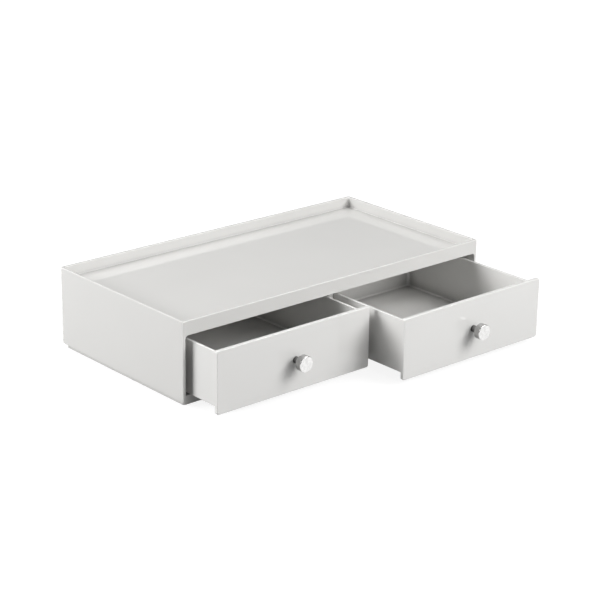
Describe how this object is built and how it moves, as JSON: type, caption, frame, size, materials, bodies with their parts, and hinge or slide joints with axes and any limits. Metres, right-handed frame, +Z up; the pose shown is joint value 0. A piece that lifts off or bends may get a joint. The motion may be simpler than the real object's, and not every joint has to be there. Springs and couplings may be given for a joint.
{
  "type": "stackable drawer box",
  "caption": "Low desk drawer box with a rimmed tray top, a recessed foot ring for stacking and side-by-side sliding drawers with turned metal knobs.",
  "frame": {"origin": "centre of the case's footprint, at the resting plane under the foot pads", "axes": "+X along the case's width to the right as seen from the front, +Y to the back (the drawers open towards -Y), +Z up"},
  "size_m": [0.324, 0.2567, 0.0718],
  "materials": {
    "case_plastic": "glossy moulded light grey",
    "drawer_plastic": "glossy moulded light grey",
    "knob_chrome": "polished",
    "screw_steel": "zinc plated",
    "pad_rubber": "soft matt"
  },
  "bodies": {
    "case": {"case_shell": "case_plastic", "base_panel": "case_plastic", "centre_partition": "case_plastic", "base_screws": "screw_steel", "foot_pads": "pad_rubber"},
    "left_drawer": {"left_drawer_box": "drawer_plastic", "left_drawer_front": "drawer_plastic", "left_knob": "knob_chrome", "left_knob_screw": "screw_steel", "left_knob_washer": "screw_steel"},
    "right_drawer": {"right_drawer_box": "drawer_plastic", "right_drawer_front": "drawer_plastic", "right_knob": "knob_chrome", "right_knob_screw": "screw_steel", "right_knob_washer": "screw_steel"}
  },
  "joints": [
    {"name": "left_drawer_slide", "type": "slide", "parent": "case", "child": "left_drawer", "axis": [0, -1, 0], "range_m": [-0.038, 0.082]},
    {"name": "right_drawer_slide", "type": "slide", "parent": "case", "child": "right_drawer", "axis": [0, -1, 0], "range_m": [-0.0775, 0.0425]}
  ]
}
